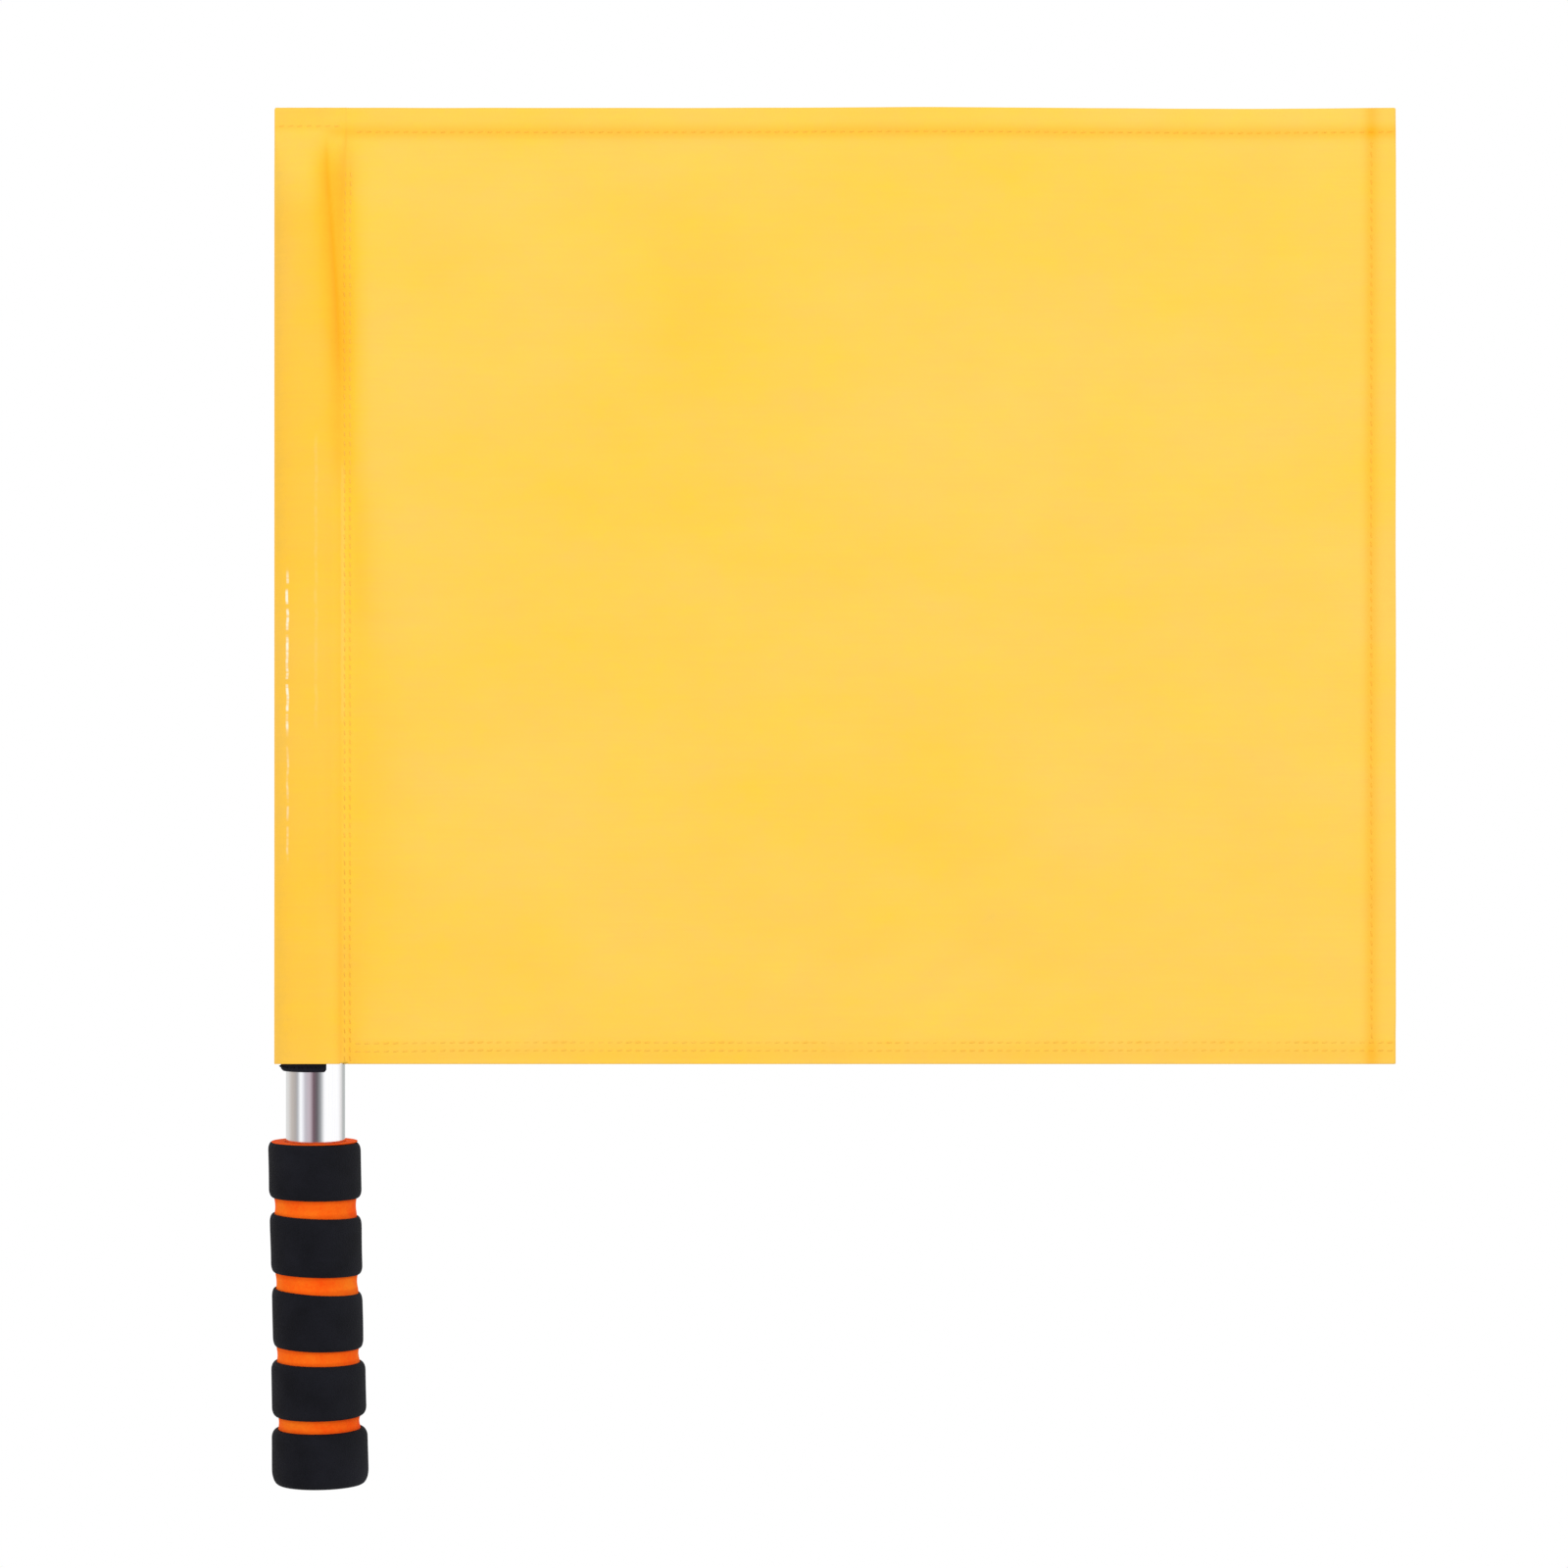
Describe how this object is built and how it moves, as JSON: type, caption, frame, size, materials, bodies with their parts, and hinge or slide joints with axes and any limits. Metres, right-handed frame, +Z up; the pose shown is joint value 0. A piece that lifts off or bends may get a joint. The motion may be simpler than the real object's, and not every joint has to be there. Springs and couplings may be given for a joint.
{
  "type": "hand signal flag",
  "caption": "Hand signal flag: hemmed yellow cloth with a sewn pole sleeve, held by hook and loop on a steel tube with a banded black and orange foam grip.",
  "frame": {"origin": "centre of the flat bottom end of the grip, on the pole's axis", "axes": "+Z up along the pole to its closed sleeve end, +X along the flag from the pole to its fly edge, -Y out of the flag's front"},
  "size_m": [0.365, 0.0316, 0.4445],
  "materials": {
    "stainless_tube": "bright polished stainless tube with fine lengthwise draw lines",
    "plug_plastic": "fine moulded grain, satin",
    "orange_foam": "ground closed-cell foam, matt",
    "black_foam": "closed-cell foam, fine cells, matt",
    "hook_tape": "stiff nylon hooks on a woven tape",
    "loop_tape": "brushed nylon loops on a woven tape",
    "yellow_cloth": "light plain-weave polyester, slight sheen",
    "yellow_thread": "twisted polyester sewing thread"
  },
  "bodies": {
    "pole": {"pole_tube": "stainless_tube", "bottom_plug": "plug_plastic", "top_plug": "plug_plastic", "hook_patch": "hook_tape", "grip_core": "orange_foam", "grip_band_1": "black_foam", "grip_band_2": "black_foam", "grip_band_3": "black_foam", "grip_band_4": "black_foam", "grip_band_5": "black_foam"},
    "sleeve": {"pole_sleeve": "yellow_cloth", "loop_patch": "loop_tape", "sleeve_seam_stitching_1": "yellow_thread", "sleeve_seam_stitching_2": "yellow_thread", "sleeve_top_stitching": "yellow_thread"},
    "flag": {"flag_panel": "yellow_cloth", "top_hem": "yellow_cloth", "bottom_hem": "yellow_cloth", "fly_hem": "yellow_cloth", "top_hem_stitching": "yellow_thread", "bottom_hem_stitching_1": "yellow_thread", "bottom_hem_stitching_2": "yellow_thread", "fly_hem_stitching": "yellow_thread"}
  },
  "joints": [
    {"name": "sleeve_slide", "type": "slide", "parent": "pole", "child": "sleeve", "axis": [0, 0, 1], "range_m": [0, 0.285]},
    {"name": "flag_swing", "type": "hinge", "parent": "sleeve", "child": "flag", "pos_m": [0.01245, -0.0049, 0.29], "axis": [0, 0, 1], "range_deg": [-90, 90]}
  ]
}
